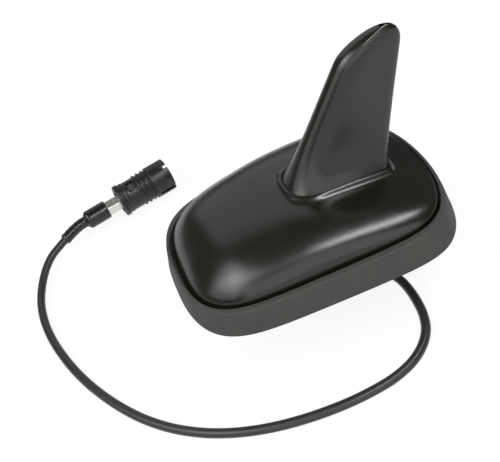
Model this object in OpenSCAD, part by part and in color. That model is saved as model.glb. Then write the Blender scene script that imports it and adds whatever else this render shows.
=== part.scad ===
// Roof aerial for a car: a rubber skirt and a moulded cover with a leaning fin stand on a cast
// plate, whose hollow stud goes through the roof. A coaxial lead leaves the stud and ends in a plug.
// The origin is on the stud's axis in the plane of the roof. X points to the car's tail and Z up.

/* [Base] */
// Length of the base from nose to tail
base_length = 134; // [120:1:150]
// Width of the base at the middle of its length
base_width = 102; // [92:1:112]
// Distance of the stud behind the middle of the base
stud_setback = 23; // [18:1:27]

/* [Skirt] */
// Height of the rubber skirt at the nose
skirt_nose_height = 12; // [10.5:0.5:14]
// Height of the rubber skirt at the tail
skirt_tail_height = 14; // [12.5:0.5:16]
// How far the skirt's wall leans in from the roof to its rim
skirt_lean = 2.6; // [1.5:0.1:2.8]
// Width of the groove between the skirt's rim and the cover
groove_width = 1; // [0.7:0.1:1.3]
// Depth of the groove below the rim
groove_depth = 3.2; // [2:0.2:4.5]

/* [Cover] */
// Distance from the skirt's foot in to the cover at nose and tail
cover_inset_end = 5; // [4.8:0.1:6]
// Distance from the skirt's foot in to the cover at the sides
cover_inset_side = 7.2; // [6:0.1:8.5]
// Height over the roof at which the cover starts to round over, at the nose
cover_edge_nose = 9.6; // [8.5:0.1:11]
// Height over the roof at which the cover starts to round over, at the tail
cover_edge_tail = 14; // [12.5:0.1:15]
// Height of the cover's crest over that edge
cover_rise = 18.5; // [17:0.1:22]
// Wall of the cover
cover_wall = 2.4; // [1.8:0.1:3]
// Width of the raised collar round the foot of the fin
collar_width = 3.2; // [2.4:0.1:4]
// Height of the collar over the cover
collar_height = 1.7; // [1:0.1:2.4]

/* [Fin] */
// Height of the fin's tip over the roof
fin_height = 86.8; // [82:0.2:94]
// Length of the fin at its foot
fin_foot_length = 49.8; // [46:0.1:54]
// Thickness of the fin at its foot
fin_foot_thickness = 20; // [18:0.5:24]
// Thickness of the fin below its rounded top
fin_tip_thickness = 13; // [12:0.2:15]
// Backward lean of the front edge for each millimetre of height
fin_front_lean = 0.75; // [0.7:0.01:0.79]
// Backward lean of the rear edge for each millimetre of height
fin_rear_lean = 0.31; // [0.27:0.01:0.36]
// Wall of the fin
fin_wall = 2.2; // [1.6:0.1:2.6]
// Clearance between the fin and the collar round it
fin_clearance = 0.2; // [0.1:0.05:0.3]

/* [Plate and stud] */
// Thickness of the plate's flange
plate_thickness = 3; // [2.5:0.1:3.5]
// Diameter of the threaded stud
stud_diameter = 14; // [12:0.5:16]
// Length of the stud below the roof
stud_length = 20; // [16:0.5:21]
// Bore through the stud for the cable
stud_bore = 6.8; // [5.6:0.1:7.6]
// Width across the flats of the stud's head
stud_head_width = 23; // [20:0.5:25]
// Thickness of the stud's head
stud_head_thickness = 3; // [2:0.2:3.6]
// Diameter of the screws that hold the cover
cover_screw_diameter = 3; // [2.5:0.1:3.4]

/* [Board] */
// Length of the circuit board
board_length = 58; // [50:1:59]
// Width of the circuit board
board_width = 50; // [44:1:52]
// Thickness of the circuit board
board_thickness = 1.6; // [1:0.1:2]
// Height of the posts that carry the board
post_height = 5.4; // [4.6:0.2:6]
// Height of the shielding can
can_height = 5; // [3:0.5:6]

/* [Cable and plug] */
// Diameter of the cable
cable_diameter = 4.6; // [4:0.1:4.8]
// Clearance round the cable in what holds it
cable_clearance = 0.05; // [0.03:0.01:0.1]
// Wall of the sleeve where it covers the ferrule
sleeve_wall = 0.5; // [0.3:0.05:0.8]
// Wall of the sleeve where it has shrunk on to the cable
sleeve_tail_wall = 1; // [0.5:0.05:1.3]
// Width across the flats of the crimped ferrule
ferrule_width = 8.8; // [8.2:0.1:9.4]
// Length of the plug's housing
housing_length = 35; // [33:0.2:37]
// Diameter of the housing at its open mouth
barrel_diameter = 20.4; // [19.8:0.1:20.4]
// Diameter of the collar at the rear of the housing
housing_collar_diameter = 20.4; // [19.6:0.1:20.4]

/* [Hidden] */

// Colours as the photo shows them, and plain ones for what it hides
satin_black = [0.16, 0.16, 0.155];
rubber_black = [0.27, 0.27, 0.26];
zinc_grey = [0.62, 0.63, 0.64];
tin_silver = [0.78, 0.79, 0.78];
board_green = [0.1, 0.35, 0.2];
copper = [0.72, 0.42, 0.25];
nylon_white = [0.9, 0.9, 0.87];

// Points round each outline, and steps up the shells
columns = 64;
cover_steps = 9;
cover_inner_steps = 6;
fin_steps = 14;
fin_inner_steps = 6;
seat_gap = 0.2;
fit_gap = 0.05;

// Shape of the outline seen from above: the ends are blunt and the tail is wider than the nose
end_power = 6;
nose_corner_power = 2.65;
tail_corner_power = 1.95;
tail_widening = 0.09;
end_narrowing = 0.035;

// Heights over the roof, from the seal up
lip_width = 3.2;
web_bottom = 1.6;
web_top = 3.4;
plate_bottom = 1;
cover_foot = web_top + seat_gap;
flange_bottom = web_top + seat_gap;
plate_top = flange_bottom + plate_thickness;
board_bottom = plate_top + post_height;
board_top = board_bottom + board_thickness;
flange_overlap = 4;
flange_inset_end = cover_inset_end + cover_wall + 0.4;
flange_inset_side = cover_inset_side + cover_wall + 0.4;
body_inset_end = flange_inset_end + flange_overlap;
body_inset_side = flange_inset_side + flange_overlap;

function mix(a, b, f) = a + (b - a) * f;
function clip(v, low, high) = min(high, max(low, v));
function unit(v) = v / norm(v);

// Half the width of an outline at u, which runs from -1 at the nose to 1 at the tail
function half_width(u, b) =
    b * pow(max(0, 1 - pow(abs(u), end_power)), 1 / (u < 0 ? nose_corner_power : tail_corner_power))
    * (1 + tail_widening * u - end_narrowing * u * u);

// A point of the outline, in degrees from the tail round the left side, inset from the skirt's foot
function plan(t, inset_end, inset_side) =
    let (u = sin(90 * (t <= 180 ? 1 - t / 90 : t / 90 - 3)))
    [
        (base_length / 2 - inset_end) * u,
        (t <= 180 ? 1 : -1) * half_width(u, base_width / 2 - inset_side)
    ];

function along(x) = clip((x + base_length / 2) / base_length, 0, 1);

// Height of the cover's outside, or of its inside for a given wall, over a point of the base
crest_x = -10;
nose_fall = 4.1;
tail_fall = 1.5;
section_power = 2;
function cover_z(x, y, wall) =
    let (
        a = base_length / 2 - cover_inset_end - wall,
        b = base_width / 2 - cover_inset_side - wall,
        u = clip(x / a, -1, 1),
        v = min(1, abs(y) / max(0.01, half_width(u, b))),
        fall = u * a < crest_x
            ? pow(1 - pow((crest_x - u * a) / (crest_x + a), nose_fall), 0.93)
            : 1 - pow((u * a - crest_x) / (a - crest_x), tail_fall),
        shoulder = mix(2.45, 3.9, pow((u + 1) / 2, 1.5))
    )
    mix(cover_edge_nose, cover_edge_tail, (u + 1) / 2)
    + (cover_rise - wall) * fall * pow(max(0, 1 - pow(v, shoulder)), 1 / section_power);

// Seen from the side the fin is straight in front and at the rear, and both roll over to meet at its tip
foot_level = 35;
fin_front_x = 1.3;
roll_height = 8.5;
rear_roll = 9.8;
roll_power = 1.87;
roll_reach = fin_foot_length + (fin_rear_lean - fin_front_lean) * (fin_height - foot_level) - rear_roll;
function risen(z, height) = clip((z - fin_height + height) / height, 0, 0.9999);
function rolled(h) = 1 - pow(1 - pow(h, roll_power), 1 / roll_power);
function roll_slope(h) = pow(h, roll_power - 1) * pow(1 - pow(h, roll_power), 1 / roll_power - 1);
function front_x(z) = fin_front_x + fin_front_lean * (z - foot_level) + roll_reach * rolled(risen(z, roll_height));
function rear_x(z) =
    fin_front_x + fin_foot_length + fin_rear_lean * (z - foot_level) - rear_roll * rolled(risen(z, rear_roll));
function front_slope(z) = fin_front_lean + roll_reach / roll_height * roll_slope(risen(z, roll_height));
function rear_slope(z) = fin_rear_lean - roll_slope(risen(z, rear_roll));
flare_reach = 51.8;
flare_power = 6.7;
function fin_half(z) =
    mix(
        fin_tip_thickness, fin_foot_thickness,
        pow(clip((foot_level + flare_reach - z) / flare_reach, 0, 2), flare_power)
    ) / 2;

// Seen from above it tapers to the rear. Its edge is rounded by the distance in from that side outline
widest_share = 0.2;
tail_share = 0.9;
tail_thickness = 0.38;
taper_blend = 0.1;
front_round = 12;
top_round = 7.3;
rear_round = 4.9;
round_power = 2.8;
function taper(s) =
    let (q = s - widest_share)
    1 - (1 - tail_thickness) * (q + sqrt(q * q + taper_blend * taper_blend)) / 2 / (tail_share - widest_share);
function fin_y(x, z) =
    let (
        front = front_x(z),
        rear = rear_x(z),
        in_front = max(0.001, (x - front) / sqrt(1 + pow(front_slope(z), 2)) / front_round),
        in_rear = max(0.001, (rear - x) / sqrt(1 + pow(rear_slope(z), 2)) / rear_round),
        in_top = max(0.001, (fin_height - z) / top_round),
        inward = min(1, pow(pow(in_front, -3) + pow(in_rear, -3) + pow(in_top, -3), -1 / 3))
    )
    fin_half(z) * taper((x - front) / (rear - front)) * pow(1 - pow(1 - inward, round_power), 1 / round_power);

// A point of the fin's outline at height z, moved out by a given amount, or in for the hollow
hollow_tail_share = 2.4;
function fin_point(t, z, out) =
    let (
        s = (1 + cos(t)) / 2,
        front = front_x(z),
        rear = rear_x(z),
        x = mix(front - out, rear + out * (out < 0 ? hollow_tail_share : 1), s),
        ends = min(1, 2.5 * abs(sin(t))),
        y = out < 0 ? max(0.3, fin_y(x, z) + out) * ends : fin_y(mix(front, rear, s), z) + out * ends
    )
    [x, (t <= 180 ? 1 : -1) * y];

// The same point where the fin's outline meets the cover, at a given height over it
function fin_on_cover(t, out, lift, wall, z = 30, turns = 5) =
    let (p = fin_point(t, z, out), level = cover_z(p.x, p.y, wall) + lift)
    turns == 0 ? [p.x, p.y, level] : fin_on_cover(t, out, lift, wall, level, turns - 1);

// Faces between rings of points; a loft that closes on itself has no ends
function ring_faces(rings, count, closed) = [
    for (r = [0 : rings - (closed ? 1 : 2)])
    for (c = [0 : count - 1])
    let (a = r * count, b = ((r + 1) % rings) * count, n = (c + 1) % count)
    each [[a + c, a + n, b + c], [a + n, b + n, b + c]]
];
// Cap over a ring whose two long sides face each other
function strip_faces(first, count, flip) = [
    for (c = [0 : count / 2 - 1])
    let (p = first + c, q = first + c + 1, r = first + (count - c - 1), s = first + (count - c) % count)
    each c == 0 ? [flip ? [p, r, q] : [p, q, r]]
        : c == count / 2 - 1 ? [flip ? [p, s, q] : [p, q, s]]
        : [flip ? [p, r, q] : [p, q, r], flip ? [p, s, r] : [p, r, s]]
];
module loft(rings, closed) {
    count = len(rings[0]);
    points = [for (r = rings) each r];
    faces = closed
        ? ring_faces(len(rings), count, true)
        : concat(
            ring_faces(len(rings), count, false),
            strip_faces(0, count, true),
            strip_faces((len(rings) - 1) * count, count, false)
        );
    polyhedron(points, faces, convexity = 10);
}
turns = [for (c = [0 : columns - 1]) 360 * c / columns];

// Everything on the base is drawn about the middle of the base
module on_base() {
    translate([-stud_setback, 0, 0]) children();
}
module plan_slab(inset_end, inset_side, bottom, top) {
    translate([0, 0, bottom])
        linear_extrude(top - bottom)
            polygon([for (t = turns) plan(t, inset_end, inset_side)]);
}

// Places that more than one piece uses
front_screw_inset = 18;
rear_screw_inset = 37;
rear_screw_side = 24;
front_screw_x = -base_length / 2 + front_screw_inset;
front_screw_y = base_width / 6;
rear_screw_x = base_length / 2 - rear_screw_inset;
rear_screw_y = base_width / 2 - rear_screw_side;
cover_screw_spots = [
    [front_screw_x, front_screw_y], [front_screw_x, -front_screw_y],
    [rear_screw_x, rear_screw_y], [rear_screw_x, -rear_screw_y]
];
boss_radius = cover_screw_diameter / 2 + 2.2;
screw_head_radius = cover_screw_diameter / 2 + 1.5;
screw_head_height = 1.8;
screw_reach = 10;
board_boss_gap = 2.3;
board_front_x = front_screw_x - stud_setback + boss_radius + board_boss_gap;
board_middle_x = board_front_x + board_length / 2;
post_spots = [
    for (sx = [-1, 1]) for (sy = [-1, 1])
    [board_middle_x + sx * (board_length / 2 - 4.5), sy * (board_width / 2 - 4.5)]
];
post_radius = 3;
board_screw_radius = 1.25;

function cover_ring(g) = [
    for (t = turns)
    let (
        e = plan(t, cover_inset_end, cover_inset_side),
        f = fin_on_cover(t, collar_width, 0, 0),
        x = mix(f.x, e.x, g),
        y = mix(f.y, e.y, g)
    )
    [x, y, cover_z(x, y, 0)]
];
function cover_inner_ring(g) = [
    for (t = turns)
    let (
        e = plan(t, cover_inset_end + cover_wall, cover_inset_side + cover_wall),
        f = fin_on_cover(t, fin_flange_width + fin_clearance, 0, cover_wall),
        x = mix(f.x, e.x, g),
        y = mix(f.y, e.y, g)
    )
    [x, y, cover_z(x, y, cover_wall)]
];
// The collar's outline from the cover up over its lip: how far out, and how high
collar_profile = [
    [0.66 * collar_width, 0.25 * collar_height],
    [0.42 * collar_width, 0.7 * collar_height],
    [0.26 * collar_width, collar_height],
    [fin_clearance + 0.25, collar_height],
    [fin_clearance, collar_height - 0.4]
];
// The cover is one moulding: a dome with a collared slot for the fin, screw bosses and ribs inside
module dome_cover() {
    foot = [for (t = turns) let (p = plan(t, cover_inset_end, cover_inset_side)) [p.x, p.y, cover_foot]];
    inner_foot = [
        for (t = turns)
        let (p = plan(t, cover_inset_end + cover_wall, cover_inset_side + cover_wall))
        [p.x, p.y, cover_foot]
    ];
    outside = [for (k = [cover_steps : -1 : 0]) cover_ring(sin(90 * k / cover_steps))];
    collar = [for (p = collar_profile) [for (t = turns) fin_on_cover(t, p[0], p[1], 0)]];
    slot = [for (t = turns) fin_on_cover(t, fin_clearance, 0, cover_wall)];
    inside = [for (k = [0 : cover_inner_steps]) cover_inner_ring(sin(90 * k / cover_inner_steps))];
    color(satin_black)
        on_base()
            difference() {
                union() {
                    loft(concat([foot], outside, collar, [slot], inside, [inner_foot]), true);
                    intersection() {
                        cover_bosses();
                        cover_core(cover_wall * 0.55);
                    }
                }
                for (p = cover_screw_spots)
                    translate([p.x, p.y, plate_top])
                        cylinder(h = screw_reach, r = cover_screw_diameter / 2 + fit_gap, $fn = 24);
            }
}
// Solid under the cover's skin, used to trim what hangs from it
module cover_core(wall) {
    core_steps = 5;
    rings = [
        for (k = [0 : core_steps])
        let (g = cos(90 * k / core_steps * 0.98))
        [
            for (t = [0 : 15 : 345])
            let (p = plan(t, cover_inset_end + wall, cover_inset_side + wall), x = p.x * mix(0.4, 1, g), y = p.y * g)
            [x, y, cover_z(x, y, wall) - (k == 0 ? 0 : 0.1)]
        ]
    ];
    low = [for (p = rings[0]) [p.x, p.y, plate_top + seat_gap]];
    loft(concat([low], rings), false);
}
module cover_bosses() {
    for (p = cover_screw_spots) {
        translate([p.x, p.y, plate_top + seat_gap])
            cylinder(h = cover_rise + cover_edge_tail, r = boss_radius, $fn = 24);
        for (turn = [0, 90])
            translate([p.x, p.y, plate_top + 6 + cover_rise / 2])
                rotate([0, 0, turn])
                    cube([boss_radius * 3, 1.2, cover_rise], center = true);
    }
}

// The fin is a separate hollow moulding whose flange bears on the inside of the cover
fin_flange_width = 3;
fin_flange_thickness = 1.8;
fin_ceiling = fin_height - 10;
fin_seat = -seat_gap;
module fin_shell() {
    seat = [for (t = turns) fin_on_cover(t, 0, fin_seat, cover_wall)];
    flange_top = [for (t = turns) fin_on_cover(t, fin_flange_width, fin_seat, cover_wall)];
    flange_low = [
        for (t = turns) fin_on_cover(t, fin_flange_width, fin_seat - fin_flange_thickness, cover_wall)
    ];
    hollow_low = [for (t = turns) fin_on_cover(t, -fin_wall, fin_seat - fin_flange_thickness, cover_wall)];
    lip = [for (t = turns) fin_on_cover(t, 0, collar_height, 0)];
    outside = [
        for (k = [0 : fin_steps])
        [
            for (c = [0 : columns - 1])
            let (z = mix(lip[c].z, fin_height, sin(90 * k / fin_steps * 0.985)), p = fin_point(turns[c], z, 0))
            [p.x, p.y, z]
        ]
    ];
    hollow = [
        for (k = [fin_inner_steps : -1 : 0])
        [
            for (c = [0 : columns - 1])
            let (z = mix(hollow_low[c].z, fin_ceiling, k / fin_inner_steps), p = fin_point(turns[c], z, -fin_wall))
            [p.x, p.y, z]
        ]
    ];
    color(satin_black)
        on_base()
            loft(concat(hollow, [flange_low, flange_top, seat], outside), false);
}

// The skirt is one rubber moulding: outer wall, rim, groove and a web clamped under the cover
module rubber_skirt() {
    web_in_end = body_inset_end - seat_gap;
    web_in_side = body_inset_side - seat_gap;
    rim_end = cover_inset_end - groove_width;
    rim_side = cover_inset_side - groove_width;
    // Each corner of the section: inset at the ends, inset at the sides, height, share of the rim's height
    profile = [
        [web_in_end, web_in_side, web_bottom, 0],
        [web_in_end, web_in_side, web_top, 0],
        [cover_inset_end - seat_gap, cover_inset_side - seat_gap, web_top, 0],
        [cover_inset_end - seat_gap, cover_inset_side - seat_gap, -groove_depth, 1],
        [rim_end, rim_side, -groove_depth, 1],
        [rim_end, rim_side, -0.5, 1],
        [rim_end - 0.3, rim_side - 0.4, 0, 1],
        [skirt_lean + 0.5, skirt_lean + 0.5, 0, 1],
        [skirt_lean, skirt_lean, -0.6, 1],
        [skirt_lean * 0.4, skirt_lean * 0.4, 0, 0.45],
        [0, 0, 0.8, 0],
        [0.6, 0.6, 0, 0],
        [lip_width, lip_width, 0, 0],
        [lip_width + 0.5, lip_width + 0.5, web_bottom, 0]
    ];
    color(rubber_black)
        on_base()
            loft([
                for (q = profile)
                [
                    for (t = turns)
                    let (p = plan(t, q[0], q[1]), rim = mix(skirt_nose_height, skirt_tail_height, along(p.x)))
                    [p.x, p.y, q[2] + q[3] * rim]
                ]
            ], true);
}

// The plate is a casting: a flange over the skirt's web, posts for the board and a pocket for the stud
pocket_wall = 2.4;
pocket_height = 2;
stud_hole_gap = 0.15;
module base_plate() {
    color(zinc_grey)
        difference() {
            union() {
                on_base() {
                    plan_slab(flange_inset_end, flange_inset_side, flange_bottom, plate_top);
                    plan_slab(body_inset_end + fit_gap, body_inset_side + fit_gap, plate_bottom, flange_bottom);
                }
                for (p = post_spots)
                    translate([p.x, p.y, plate_top])
                        cylinder(h = post_height, r = post_radius, $fn = 32);
                translate([0, 0, plate_top])
                    cylinder(h = pocket_height, d = (stud_head_width + 2 * seat_gap) / cos(30) + 2 * pocket_wall, $fn = 64);
                for (sy = [-1, 1])
                    translate([board_middle_x, sy * board_width / 4, plate_top])
                        translate([0, 0, 1])
                            cube([board_length - 16, 1.6, 2], center = true);
            }
            translate([0, 0, plate_top])
                rotate([0, 0, 30])
                    cylinder(h = pocket_height + 1, d = (stud_head_width + 2 * seat_gap) / cos(30), $fn = 6);
            cylinder(h = plate_top + 1, r = stud_diameter / 2 + stud_hole_gap, $fn = 96);
            for (p = post_spots)
                translate([p.x, p.y, plate_top - 0.5])
                    cylinder(h = post_height + 1, r = board_screw_radius + fit_gap, $fn = 24);
            for (p = cover_screw_spots)
                translate([p.x - stud_setback, p.y, 0]) {
                    cylinder(h = 20, r = cover_screw_diameter / 2 + 0.3, $fn = 32);
                    cylinder(h = plate_bottom + screw_head_height + seat_gap, r = screw_head_radius + 0.3, $fn = 32);
                }
        }
}

// The stud is turned from bar with a hexagonal head that sits in the plate's pocket
grommet_depth = 8;
grommet_radius = stud_bore / 2 + 1;
stud_relief = 1;
stud_neck_drop = 0.5;
countersink_depth = 4;
countersink_spread = 3.5;
module threaded_stud() {
    head_bottom = plate_top;
    color(tin_silver)
        difference() {
            union() {
                translate([0, 0, head_bottom])
                    rotate([0, 0, 30])
                        cylinder(h = stud_head_thickness, d = stud_head_width / cos(30), $fn = 6);
                translate([0, 0, -stud_neck_drop])
                    cylinder(h = head_bottom + stud_neck_drop, r = stud_diameter / 2 - stud_relief, $fn = 96);
                translate([0, 0, -stud_length + 1])
                    cylinder(h = stud_length - 1 - stud_neck_drop, d = stud_diameter, $fn = 96);
                translate([0, 0, -stud_length])
                    cylinder(h = 1, d1 = stud_diameter - 2, d2 = stud_diameter, $fn = 96);
            }
            translate([0, 0, -stud_length - 1])
                cylinder(h = stud_length + head_bottom + stud_head_thickness + 2, d = stud_bore, $fn = 48);
            translate([0, 0, -stud_length - 1])
                cylinder(h = grommet_depth + 1, r = grommet_radius + fit_gap, $fn = 48);
            translate([0, 0, head_bottom + stud_head_thickness - countersink_depth])
                cylinder(h = countersink_depth + 0.01, d1 = stud_bore, d2 = stud_bore + 2 * countersink_spread, $fn = 48);
        }
}

// Flat rubber ring between the plate and the roof
seal_width = 13;
seal_hole_gap = 0.75;
module roof_seal() {
    color(rubber_black)
        difference() {
            cylinder(h = plate_bottom, d = stud_diameter + 2 * seal_width, $fn = 96);
            translate([0, 0, -1])
                cylinder(h = plate_bottom + 2, d = stud_diameter + 2 * seal_hole_gap, $fn = 96);
        }
}

// Rubber bush in the end of the stud, with a short tapered snout round the cable
snout_length = 4;
cable_hole = cable_diameter / 2 + cable_clearance;
module cable_grommet() {
    color(rubber_black)
        translate([0, 0, -stud_length])
            difference() {
                union() {
                    cylinder(h = grommet_depth, r = grommet_radius, $fn = 48);
                    translate([0, 0, -1.2])
                        cylinder(h = 1.2, r = grommet_radius + 0.8, $fn = 48);
                    translate([0, 0, -snout_length])
                        cylinder(h = snout_length - 1.2, r1 = cable_diameter / 2 + 0.9, r2 = grommet_radius + 0.2, $fn = 48);
                }
                translate([0, 0, -snout_length - 1])
                    cylinder(h = snout_length + grommet_depth + 2, r = cable_hole, $fn = 48);
            }
}

screw_slot_width = 0.6;
module pan_screw(shank_radius, head_radius, head_height, reach) {
    cylinder(h = reach, r = shank_radius, $fn = 24);
    difference() {
        translate([0, 0, -head_height])
            cylinder(h = head_height, r = head_radius, $fn = 32);
        for (turn = [0, 90])
            translate([0, 0, -head_height])
                rotate([0, 0, turn])
                    cube([head_radius * 1.1, screw_slot_width, head_height], center = true);
    }
}
// Four screws from below, through the plate and into the cover's bosses
module cover_screws() {
    color(tin_silver)
        for (p = cover_screw_spots)
            translate([p.x - stud_setback, p.y, plate_bottom + screw_head_height + seat_gap / 2])
                pan_screw(cover_screw_diameter / 2, screw_head_radius, screw_head_height - seat_gap, screw_reach);
}

module circuit_board() {
    color(board_green)
        difference() {
            translate([board_middle_x - board_length / 2, -board_width / 2, board_bottom])
                cube([board_length, board_width, board_thickness]);
            for (p = post_spots)
                translate([p.x, p.y, board_bottom - 1])
                    cylinder(h = board_thickness + 2, r = board_screw_radius + 0.25, $fn = 24);
            translate([clamp_x, cable_y + clamp_screw_offset, board_bottom - 1])
                cylinder(h = board_thickness + 2, r = clamp_screw_radius + fit_gap, $fn = 24);
        }
}
module board_screws() {
    color(tin_silver)
        for (p = post_spots)
            translate([p.x, p.y, board_top])
                mirror([0, 0, 1])
                    pan_screw(board_screw_radius, board_screw_radius + 1.2, 1.4, board_thickness + post_height - 1);
}

// Tinned can over the amplifier, open below, with a folded lip round its foot
can_size = [30, 24];
can_behind = 20;
can_x = board_front_x + can_behind;
can_y = -4;
can_wall = 0.5;
module shield_can() {
    color(tin_silver)
        translate([can_x, can_y, board_top])
            difference() {
                translate([-can_size.x / 2, -can_size.y / 2, 0])
                    cube([can_size.x, can_size.y, can_height]);
                translate([-can_size.x / 2 + can_wall, -can_size.y / 2 + can_wall, -1])
                    cube([can_size.x - 2 * can_wall, can_size.y - 2 * can_wall, can_height + 1 - can_wall]);
                for (sx = [-1, 1])
                    for (sy = [-1, 1])
                        translate([sx * can_size.x / 2, sy * can_size.y / 2, 0])
                            cube([3, 3, 2], center = true);
            }
}
// Amplifier, filters and capacitors: distance behind the board's front edge and to the side, size
chips = [
    [[16, -2], [7, 7, 1.2]], [[26, -8], [5, 4, 1]], [[24, 2], [3.2, 1.6, 1]], [[12, -10], [3.2, 2.5, 1.4]],
    [[40, -8], [6, 5, 1.8]], [[40, 5], [3.2, 1.6, 1]], [[39, -16], [4, 4, 2.2]], [[19, 18], [3.2, 2.5, 1.4]]
];
module board_chips() {
    color([0.12, 0.12, 0.13])
        for (c = chips)
            translate([board_front_x + c[0].x, c[0].y, board_top + c[1].z / 2])
                cube(c[1], center = true);
}

// The fin's aerial: a moulded former that stands on the board and leans with the fin, wound with wire
coil_lean = 28;
coil_foot_behind = 9.7;
coil_foot_x = fin_front_x + coil_foot_behind - stud_setback;
former_radius = 0.4 * fin_tip_thickness - fin_wall - 1.3;
former_top_gap = 14.9;
former_length = (fin_height - former_top_gap - board_top) / cos(coil_lean);
former_base = 1.5;
former_collar = 1.5;
former_foot_front = 5.5;
former_foot_length = 9;
former_foot_width = 10;
coil_start = 30;
coil_end_gap = 5.4;
coil_turns = 9;
coil_pitch = (former_length - coil_start - coil_end_gap) / coil_turns;
wire_radius = 0.45;
module along_coil() {
    translate([coil_foot_x, 0, board_top])
        rotate([0, coil_lean, 0]) children();
}
module coil_former() {
    color(nylon_white) {
        difference() {
            along_coil()
                union() {
                    translate([0, 0, -4])
                        cylinder(h = former_length + 4, r = former_radius, $fn = 32);
                    translate([0, 0, former_length - coil_end_gap + 2])
                        cylinder(h = former_collar, r = former_radius + 0.8, $fn = 32);
                }
            translate([coil_foot_x, 0, board_top - 10])
                cube([40, 40, 20], center = true);
        }
        translate([coil_foot_x - former_foot_front, -former_foot_width / 2, board_top])
            cube([former_foot_length, former_foot_width, former_base]);
    }
}
function frame_of(points) = [
    for (i = [0 : len(points) - 1])
    unit(points[min(i + 1, len(points) - 1)] - points[max(i - 1, 0)])
];
// Carries a sideways direction along the route without twist
function carried(tangents, i, side) =
    i == len(tangents) ? []
    : let (s = unit(side - (side * tangents[i]) * tangents[i])) concat([s], carried(tangents, i + 1, s));
function tube_rings(points, radii, sides) =
    let (tangents = frame_of(points), side = carried(tangents, 0, unit([0.31, 0.9, 0.2])))
    [
        for (i = [0 : len(points) - 1])
        [
            for (k = [0 : sides - 1])
            points[i] + radii[i] * (cos(360 * k / sides) * side[i] + sin(360 * k / sides) * cross(tangents[i], side[i]))
        ]
    ];
module tube(points, radius, sides) {
    rings = tube_rings(points, [for (p = points) radius], sides);
    last = (len(points) - 1) * sides;
    polyhedron(
        [for (r = rings) each r],
        concat(
            [for (f = ring_faces(len(points), sides, false)) f],
            [[for (k = [sides - 1 : -1 : 0]) k], [for (k = [0 : sides - 1]) last + k]]
        ),
        convexity = 10
    );
}
module antenna_coil() {
    steps = 12;
    radius = former_radius + wire_radius + 0.1;
    color(copper)
        along_coil()
            tube(
                [
                    for (i = [0 : coil_turns * steps])
                    [-radius * cos(360 * i / steps), -radius * sin(360 * i / steps), coil_start + coil_pitch * i / steps]
                ],
                wire_radius, 6
            );
}
// Tin strip from the board, over the former's base and up the former to the wire's lower end
module contact_clip() {
    strip = 0.5;
    width = 3;
    base_front = coil_foot_x - former_foot_front - fit_gap;
    base_top = board_top + former_base + fit_gap;
    former_side = coil_foot_x - (former_radius + 0.1) / cos(coil_lean) + (former_base + fit_gap) * tan(coil_lean);
    color(tin_silver) {
        translate([base_front - 5, -width / 2, board_top])
            cube([5, width, strip]);
        translate([base_front - strip, -width / 2, board_top])
            cube([strip, width, former_base + fit_gap + strip]);
        translate([base_front - strip, -width / 2, base_top])
            cube([former_side - base_front + strip, width, strip]);
        difference() {
            along_coil()
                translate([-former_radius - 0.1 - strip, -width / 2, 0])
                    cube([strip, width, coil_start - wire_radius - 0.15]);
            translate([base_front - 10, -10, base_top - 20])
                cube([40, 20, 20]);
        }
    }
}

// Saddle that holds the cable down on the board, at a set distance behind the board's front edge
cable_y = 14;
cable_level = board_top + cable_diameter / 2 + 0.3;
clamp_behind = 44;
clamp_x = board_front_x + clamp_behind;
clamp_width = 6;
clamp_wall = 0.8;
clamp_screw_radius = 1;
clamp_screw_offset = 6.4;
module cable_clamp() {
    outer = cable_hole + clamp_wall;
    color(tin_silver)
        difference() {
            union() {
                translate([clamp_x, cable_y, cable_level])
                    rotate([0, 90, 0])
                        cylinder(h = clamp_width, r = outer, center = true, $fn = 48);
                translate([clamp_x - clamp_width / 2, cable_y - outer, board_top])
                    cube([clamp_width, 2 * outer, cable_level - board_top]);
                translate([clamp_x - clamp_width / 2, cable_y, board_top])
                    cube([clamp_width, clamp_screw_offset + 2.4, clamp_wall]);
            }
            translate([clamp_x, cable_y, cable_level])
                rotate([0, 90, 0])
                    cylinder(h = clamp_width + 2, r = cable_hole, center = true, $fn = 48);
            translate([clamp_x - clamp_width, cable_y - cable_hole, board_top - 1])
                cube([clamp_width * 2, 2 * cable_hole, cable_level - board_top + 1]);
            translate([clamp_x, cable_y + clamp_screw_offset, board_top - 1])
                cylinder(h = 4, r = clamp_screw_radius + 0.2, $fn = 24);
        }
}
module clamp_screw() {
    color(tin_silver)
        translate([clamp_x, cable_y + clamp_screw_offset, board_top + clamp_wall])
            mirror([0, 0, 1])
                pan_screw(clamp_screw_radius, clamp_screw_radius + 0.9, 1.1, clamp_wall + board_thickness);
}

// The plug lies on the surface below. Its own axis is X, from the rear of the housing to the mouth
surface_level = -36.5;
plug_spot = [-103, 125, -28.55];
plug_turn = 9.9;
module at_plug() {
    translate(plug_spot)
        rotate([0, 0, plug_turn]) children();
}
function plug_axis(x) = plug_spot + x * [cos(plug_turn), sin(plug_turn), 0];
ferrule_start = -21;
ferrule_end = 3;
jacket_end = -10;
sleeve_front = -8.5;
sleeve_step = -23.5;
sleeve_step_length = 2;
// Where the cable runs inside the sleeve
sleeve_route = [
    [-141.4, 114.2, -29.7], [-137.2, 116.8, -29.2], [-133.2, 118.9, -28.8], plug_axis(-26.5),
    plug_axis(sleeve_step), plug_axis(sleeve_step + sleeve_step_length), plug_axis(sleeve_front)
];

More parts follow.
